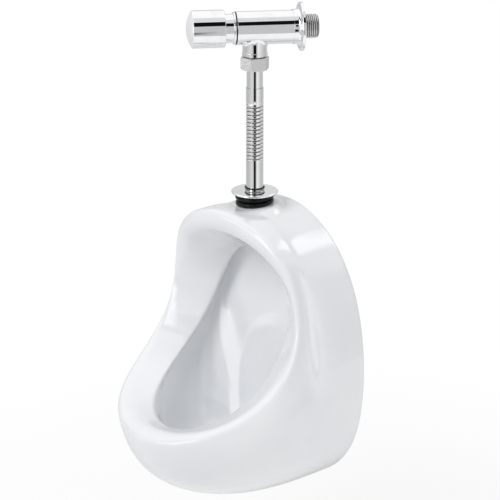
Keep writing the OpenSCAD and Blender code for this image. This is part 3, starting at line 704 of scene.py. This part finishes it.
# The stub's flare follows the round body that it grows out of
def makeStub():
    r, f = stub["radius"], stub["flare"]
    outline = [(body["outlet"], -6.0), (r + f * 1.35, -6.0), (r + f * 1.35, -1.2)]
    outline += arc((r + f, f - 0.3), f, -100, -180, 12)
    shoulder = stub["shoulder"] - body["radius"]
    band, end = shoulder - stub["gap"], stub["end"] - body["radius"]
    outline += [(r, 8), (r, 9.5), (r + 0.7, 9.8), (r + 0.7, band), (stub["thread"], band), (stub["thread"], shoulder),
                (stub["thread"], end), (body["outlet"], end)]
    bm = turned(outline, 0.2, 128, 3, 30)
    for vert in bm.verts:
        fade = max(0, min(1, 1 - (vert.co.z - 0.5) / f))
        sag = body["radius"] - math.sqrt(max(1.0, body["radius"] ** 2 - vert.co.y ** 2))
        vert.co.z -= sag * (fade * fade * (3 - 2 * fade))
    bmesh.ops.transform(bm, matrix=sideways @ Matrix.Translation((0, 0, body["radius"])), verts=bm.verts[:])
    return bm


def buildValve():
    r, seatBack = body["radius"], body["seat"] + body["seatThick"]
    outline = [(body["chamber"], -body["front"]), (r, -body["front"]), (r, body["rear"])]
    outline += [(body["thread"], body["rear"]), (body["thread"], body["nipple"]), (body["rearBore"], body["nipple"]),
                (body["rearBore"], seatBack), (body["seatHole"], seatBack), (body["seatHole"], body["seat"]),
                (body["chamber"], body["seat"])]
    # Each half is cut before they join, and the cutters stay clear of the bores, so no two faces coincide
    stubHalf = combine(makeStub(), [rod(body["chamber"] + 1, -30, 30)], "DIFFERENCE")
    outletBore = rod(body["outlet"] - body["outletClear"], 0, 60, sideways)
    shell = combine(turned(outline, 0.5, 128), [outletBore], "DIFFERENCE")
    shell = combine(shell, [stubHalf], "UNION")
    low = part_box("union_nut")[1].z / mm
    pipeLine = above("union_nut")
    # Painted shadow: a dark ring round the stub just above the union nut, in the gap between them
    paintedGapShadow = makeChrome("bodyChrome", paintedShade=lambda sheet: sheet.step(sheet.fromAxis(pipeLine), 13.6, 14.6, 1.0, 0.0)
                        * sheet.step(sheet.part(sheet.place(), 2) * 1000, low + 1.4, low + 2.2, 1.0, 0.0))
    addPiece("valve_shell", shell, valvePlace, paintedGapShadow, "valve", "chrome", "valve_body", keen=30)


neck = dict(radius=17.8, stem=3.05, spring=11.4, guide=33, guideTall=4, out=64, inside=12, piston=11.05, plug=16.95,
            flange=20.1, flangeTall=2.6, seal=24.9, sealIn=17, sealOut=19.9, bead=0.7)


def buildNeck():
    n = neck
    flangeEnd, guideEnd = -n["seal"] - n["flangeTall"], n["guideTall"] - n["guide"]
    outline = [(n["stem"], -n["guide"]), (n["spring"], -n["guide"]), (n["spring"], -n["out"]), (n["radius"], -n["out"]),
               (n["radius"], flangeEnd), (n["flange"] - 0.7, flangeEnd), (n["flange"], flangeEnd + 0.7),
               (n["flange"], -n["seal"]), (n["plug"], -n["seal"]), (n["plug"], -n["inside"])]
    outline += [(n["piston"], -n["inside"]), (n["piston"], guideEnd), (n["stem"], guideEnd)]
    addPiece("neck", turned(outline, 0.3), valvePlace, chrome, "valve", "chrome", "neck_sleeve")
    out, bead = n["sealOut"], n["bead"]
    outline = [(n["sealIn"], -n["seal"]), (out, -n["seal"])] + arc((out - 0.2, bead - n["seal"]), bead, -80, 80, 8)
    outline += [(out, -body["front"]), (n["sealIn"], -body["front"])]
    addPiece("neck_seal", turned(outline, 0.0), valvePlace, rubber, "valve", "rubber", "front_ring")


cap = dict(radius=23.25, end=38, long=40, dome=7, wall=3, faceWall=1, hole=18.1, boss=6, bossLong=8, stem=3.05,
           collarLong=6, satinFrom=0.4, satinFull=1.0)


def buildCap():
    c = cap
    face = c["end"] + c["long"]
    inside = face - c["faceWall"]
    domeRadius = (c["radius"] ** 2 + c["dome"] ** 2) / 2 / c["dome"]
    outline = [(c["hole"], -c["end"]), (c["radius"] - 0.7, -c["end"]), (c["radius"], -c["end"] - 0.7)]
    outline += [(c["radius"], -face + 1)] + arc((c["radius"] - 0.9, -face + 0.6), 0.9, 0, -62, 5)
    for i in range(13):
        x = (c["radius"] - 1.2) * (1 - i / 12)
        outline.append((x, domeRadius - c["dome"] - face - math.sqrt(domeRadius ** 2 - x * x)))
    bossFoot, hollow, collar = -inside + c["bossLong"], c["radius"] - c["wall"], -c["end"] - c["collarLong"]
    outline += [(0, bossFoot), (c["boss"], bossFoot), (c["boss"], -inside), (hollow, -inside), (hollow, collar),
                (c["hole"], collar)]
    capMesh = combine(turned(outline, 0.25, 128, 3, 30), [rod(c["stem"], -inside, 0)], "DIFFERENCE")
    pressed = makeChrome("capChrome", face=lambda sheet: sheet.step(sheet.along(valvePlace), c["satinFrom"] - face,
                                                                    c["satinFull"] - face, 1.0, 0.0))
    addPiece("push_cap", capMesh, valvePlace, pressed, "button", "chrome", "button_cap")


nipple = dict(radius=15.1, root=13.9, bore=10.5, front=44.2, rear=53, relief=58.5, end=78, pitch=2.4, rows=96,
              fade=1.5, fullness=0.8)


# The thread's ridges wind round the nipple
def buildNipple():
    n = nipple
    start, end = n["relief"] - 0.6, n["end"] - 1.0
    heights = [start + (end - start) * i / n["rows"] for i in range(n["rows"] + 1)]
    outline = [(n["bore"], n["front"]), (n["radius"], n["front"]), (n["radius"], n["rear"])]
    outline += [(n["root"], n["rear"] + 0.8)] + [(n["root"], h) for h in heights]
    outline += [(n["root"] - 0.9, n["end"]), (n["bore"] + 0.5, n["end"]), (n["bore"], n["end"] - 0.5)]
    bm = turned(outline, 0.0, 72)
    for vert in bm.verts:
        radius = math.hypot(vert.co.x, vert.co.y)
        if radius > n["root"] - 0.1 and start < vert.co.z < end - 0.01:
            turn = math.atan2(vert.co.y, vert.co.x) / math.tau
            wave = 0.5 + 0.5 * math.cos(((vert.co.z - start) / n["pitch"] - turn) * math.tau)
            fade = min(1, (vert.co.z - start) / n["fade"], (end - vert.co.z) / n["fade"])
            grown = 1 + (n["radius"] - n["root"]) * wave ** n["fullness"] * fade / n["root"]
            vert.co.x *= grown
            vert.co.y *= grown
    addPiece("threaded_nipple", bm, valvePlace, threadMetal, "valve", "satin_chrome", "inlet_nipple", keen=50,
             weighted=False)


plate = dict(radius=30.2, hole=20.9, start=46.5, long=12.5)


def buildPlate():
    r, h = plate["radius"], plate["hole"]
    outline = [(h, 0), (h + 0.4, 0), (h + 0.45, 2), (h + 0.7, 4), (h + 1.3, 5.8), (h + 2.3, 7.4), (h + 3.7, 8.6)]
    outline += [(r - 4.2, 9.3)] + arc((r - 2, 10.2), 2.0, -150, 0, 12) + [(r, plate["long"]), (r - 1.4, plate["long"])]
    outline += [(r - 2.4, 11.4), (h + 3, 10.2), (h + 1, 8), (h, 5)]
    place = valvePlace @ Matrix.Translation((0, 0, plate["start"]))
    # Painted shade in the crease where the plate's face meets its rolled rim
    groove = makeChrome("plateChrome", paintedShade=lambda sheet: sheet.band(sheet.fromAxis(place), r - 4.5, r - 3.7, 0.2)
                        * sheet.step(sheet.along(place), 9.9, 10.3, 0.8, 0.0))
    addPiece("wall_plate", turned(outline, 0.12, 128), place, groove, "wall_escutcheon", "chrome", "escutcheon")


# travel is how far the button's joint presses it
spring = dict(radius=9.5, wire=0.9, turns=8, low=-76.1, high=-33.9, perTurn=24, travel=8)


def buildSpring():
    s = spring
    bm = bmesh.new()
    wireEnd = Matrix.Translation((s["radius"], 0, s["low"])) @ Matrix.Rotation(math.pi / 2, 4, "X")
    bmesh.ops.create_circle(bm, segments=12, radius=s["wire"], matrix=wireEnd)
    bm.faces.new(bm.verts[:])
    bmesh.ops.spin(bm, geom=bm.verts[:] + bm.edges[:] + bm.faces[:], cent=(0, 0, 0), axis=(0, 0, 1),
                   dvec=(0, 0, (s["high"] - s["low"]) / s["turns"] / s["perTurn"]), angle=math.tau * s["turns"],
                   steps=s["turns"] * s["perTurn"], use_merge=False, use_duplicate=False)
    bmesh.ops.recalc_face_normals(bm, faces=bm.faces[:])
    coil = addPiece("coil_spring", bm, valvePlace, steel, "valve", "steel", "return_spring", keen=60, weighted=False)
    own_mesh(coil)


buildValve()
buildNeck()
buildCap()
buildNipple()
buildPlate()
buildSpring()
print("valve built")

# Waste
waste = dict(radius=31, thick=3, screwHole=3.05, slots=10, slotHalf=2, slotIn=8, slotOut=19, headRadius=6, headTall=2.5,
             screw=3, driver=0.6, driverDeep=1.2, tail=20, tailLong=34, flange=3, bore=17.5, hub=7, hubTall=12,
             spoke=1.25, spokeTall=8)


def buildWaste():
    w = waste
    r = w["radius"]
    disc = turned([(0, 0), (r, 0), (r, 0.8)] + arc((r - 4, 0.2), 2.8, 20, 85, 6) + [(0, w["thick"])], 0.15)
    cuts = [rod(w["screwHole"], -1, 4, segments=48)]
    for i in range(w["slots"]):
        spin = Matrix.Rotation(math.tau * i / w["slots"], 4, "Z")
        slot = bmesh.new()
        bmesh.ops.create_cone(slot, cap_ends=True, segments=32, radius1=w["slotHalf"], radius2=w["slotHalf"], depth=8)
        for vert in slot.verts:
            vert.co.x += w["slotOut"] if vert.co.x > 0 else w["slotIn"]
        slot.transform(spin)
        cuts.append(slot)
    disc = combine(disc, cuts, "DIFFERENCE")
    # Closes the slits that cutting may leave
    bmesh.ops.holes_fill(disc, edges=[e for e in disc.edges if len(e.link_faces) == 1], sides=4)
    soften(disc, 0.25, 2, 50)
    addPiece("strainer", disc, above("waste_strainer", drainDistance), chrome, "bowl_and_pipe", "chrome",
             "waste_strainer")
    low, high = (corner.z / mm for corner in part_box("strainer_screw"))
    top = high - low
    neckTop = top - w["headTall"]
    screw = turned([(0, 0), (w["screw"], 0), (w["screw"], neckTop), (w["headRadius"], neckTop)]
                   + arc((w["headRadius"] - 2, top - 2), 2, 0, 90, 6) + [(0, top)], 0.1, 64)
    driver = block((-7, -w["driver"], top - w["driverDeep"]), (7, w["driver"], top + 1))
    addPiece("slotted_screw", combine(screw, [driver], "DIFFERENCE"), above("strainer_screw", drainDistance), steel,
             "bowl_and_pipe", "steel", "strainer_screw")
    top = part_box("waste_tail")[1].z / mm
    flange, tail, foot = -w["flange"], w["tail"], -w["flange"] - w["tailLong"]
    tube = turned([(w["bore"], 0), (r, 0), (r, flange), (tail + 2, flange), (tail, flange - 2), (tail, foot + 1),
                   (tail - 1, foot), (w["bore"], foot)], 0.25)
    hubFoot, spokeLong = -1 - w["hubTall"], w["bore"] + 1
    spider = [rod(w["hub"], hubFoot - 0.1, -1, segments=48)]
    spider += [block((-spokeLong, -w["spoke"], hubFoot), (spokeLong, w["spoke"], hubFoot + w["spokeTall"]),
                     Matrix.Rotation(math.pi * i / 3, 4, "Z")) for i in range(3)]
    tube = combine(combine(tube, spider, "UNION"), [rod(w["screwHole"], -w["tailLong"], 1, segments=48)], "DIFFERENCE")
    addPiece("tail_tube", tube, Matrix.Translation((0, -drainDistance, top)), chrome, "bowl_and_pipe", "chrome",
             "waste_tail")


buildWaste()

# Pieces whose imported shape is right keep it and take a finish
finishes = dict(wall_hooks=zinc, strainer_seal=rubber, waste_washer=rubber, union_washer=rubber, seat_ring=brass,
                nipple_ring=rubber, inlet_filter=steel, button_stem=steel, damping_piston=brass, piston_ring=rubber,
                valve_disc=rubber, disc_nut=brass)
for name, material in finishes.items():
    for materialSlot in nodes[name].material_slots:
        materialSlot.material = material
print("waste and inner pieces finished")

# Floor: it takes the object's shadow near by, and fades to plain white for the camera and for metal that mirrors it
floor = dict(low=-420, half=1100, colour=(0.92, 0.92, 0.92), worn=(0.89, 0.89, 0.89), near=220, far=800, shade=0.15,
             mirrorFade=100)


def makeFloor():
    material, sheet = newMaterial("floor")
    seen, mirrored = sheet.node("LightPath", out="Is Camera Ray"), sheet.node("LightPath", out="Is Glossy Ray")
    paint = sheet.mix(sheet.noise(3.0, 2.0), floor["colour"], floor["worn"])
    matt = sheet.node("BsdfDiffuse", sockets={"Color": paint})
    white = sheet.node("Emission", sockets={"Color": (1.0, 1.0, 1.0), "Strength": 1.0})
    distance = sheet.node("VectorMath", dict(operation="LENGTH"), {0: sheet.place()}, out="Value")
    forward = (math.sin(swing), -math.cos(swing), 0)
    ahead = sheet.node("VectorMath", dict(operation="DOT_PRODUCT"), {0: sheet.place(), 1: forward}, out="Value")
    inFront = sheet.step(ahead, -floor["mirrorFade"] * mm, floor["mirrorFade"] * mm)
    plain = sheet.step(distance, floor["near"] * mm, floor["far"] * mm, 1 - floor["shade"], 1.0)
    plain = plain * (seen + mirrored * inFront)
    sheet.node("OutputMaterial", sockets={"Surface": sheet.node("MixShader", sockets={0: plain, 1: matt, 2: white})})
    bm = bmesh.new()
    bmesh.ops.create_grid(bm, x_segments=1, y_segments=1, size=floor["half"] * mm)
    mesh = bpy.data.meshes.new("floor")
    bm.to_mesh(mesh)
    bm.free()
    mesh.materials.append(material)
    piece = bpy.data.objects.new("floor", mesh)
    piece.location.z = floor["low"] * mm
    scene.collection.objects.link(piece)


makeFloor()

# Studio: pale all round, with the cards and gaps that polished metal shows as lines. Angles are in degrees from
# the camera's own direction; softboxes are left, right, low, high, softness and strength
studio = dict(
    diffuse=0.6, white=1.08, upper=(54, 80, 0.72), facing=(-75, 80), gap=(27, 53), gapDark=0.995, tone=(-34, 27),
    lowStrip=(-12.5, 14.5, -23, -8), highStrip=(-12.5, 11, 10, 22), stripDark=0.99,
    tones=((-180, 0.72), (-125, 0.52), (-95, 0.54), (-68, 0.6), (-48, 0.72), (-30, 0.72), (-19, 0.53), (-8, 0.55),
           (13, 0.58), (22, 0.62), (32, 0.96), (47, 0.82), (61, 0.72), (77, 0.64), (100, 0.52), (180, 0.75)),
    softboxes=((106, 126, 36, 47, 3, 2.0), (-56, -34.5, 12, 46, 1.5, 2.2), (-68, -40, -7, 12, 1.5, 2.0),
               (-94, -66, -8.5, 2.5, 2, 1.6), (30, 72, 32, 43, 3, 1.2)))


def makeStudio():
    world = bpy.data.worlds.new("studio")
    world.use_nodes = True
    scene.world = world
    sheet = Sheet(world.node_tree)
    look = sheet.node("TexCoord", out="Generated")
    x, y, z = (sheet.part(look, i) for i in range(3))
    front = x * math.sin(swing) - y * math.cos(swing)
    right = x * math.cos(swing) + y * math.sin(swing)
    degree = 180 / math.pi
    height = sheet.node("Math", dict(operation="ARCSINE"), {0: z}) * degree
    across = sheet.sum("ARCTAN2", right, front) * degree
    facing = sheet.band(across, *studio["facing"], 6)
    gap = sheet.band(height, *studio["gap"], 1.2) * facing
    lowStrip, highStrip = (sheet.band(across, left, right, 0.8) * sheet.band(height, low, high, 2)
                           for left, right, low, high in (studio["lowStrip"], studio["highStrip"]))
    strip = lowStrip + highStrip
    low, high, shade = studio["upper"]
    upper = sheet.band(height, low, high, 4) * facing
    stops = [((angle + 180) / 360, tone / studio["white"]) for angle, tone in studio["tones"]]
    tones = sheet.node("ValToRGB", dict(stops=stops), {"Fac": across * (1 / 360) + 0.5})
    middle = sheet.band(height, *studio["tone"], 2)
    level = studio["white"] * (1 - upper * (1 - shade)) * (1 - middle * (1 - tones))
    level = level * (1 - gap * studio["gapDark"]) * (1 - strip * studio["stripDark"])
    for left, right, low, high, soft, strength in studio["softboxes"]:
        level = level + sheet.band(across, left, right, soft) * sheet.band(height, low, high, soft) * strength
    glossy = sheet.node("LightPath", out="Is Glossy Ray")
    seen = sheet.node("LightPath", out="Is Camera Ray")
    strength = level * glossy + (1 - glossy) * studio["diffuse"]
    strength = strength * (1 - seen) + seen
    back = sheet.node("Background", sockets={"Color": (1.0, 1.0, 1.0), "Strength": strength})
    sheet.node("OutputWorld", sockets={"Surface": back})


makeStudio()

lamps = dict(
    key=dict(place=(-250, -1700, 1650), aim=(0, -80, 0), size=(900, 900), power=24),
    right=dict(place=(1700, 150, 600), aim=(0, -60, 0), size=(500, 900), power=5),
)


def addLamp(name, values):
    lamp = bpy.data.lights.new(name, "AREA")
    lamp.shape = "RECTANGLE"
    lamp.size, lamp.size_y = (v * mm for v in values["size"])
    lamp.energy = values["power"]
    holder = bpy.data.objects.new(name, lamp)
    holder.location = Vector(values["place"]) * mm
    holder.rotation_euler = (Vector(values["place"]) - Vector(values["aim"])).to_track_quat("Z", "Y").to_euler()
    holder.visible_glossy = False  # metal shows the studio's own cards instead
    scene.collection.objects.link(holder)


for name, values in lamps.items():
    addLamp(name, values)
scene.view_settings.view_transform = "Standard"
print("studio lit")
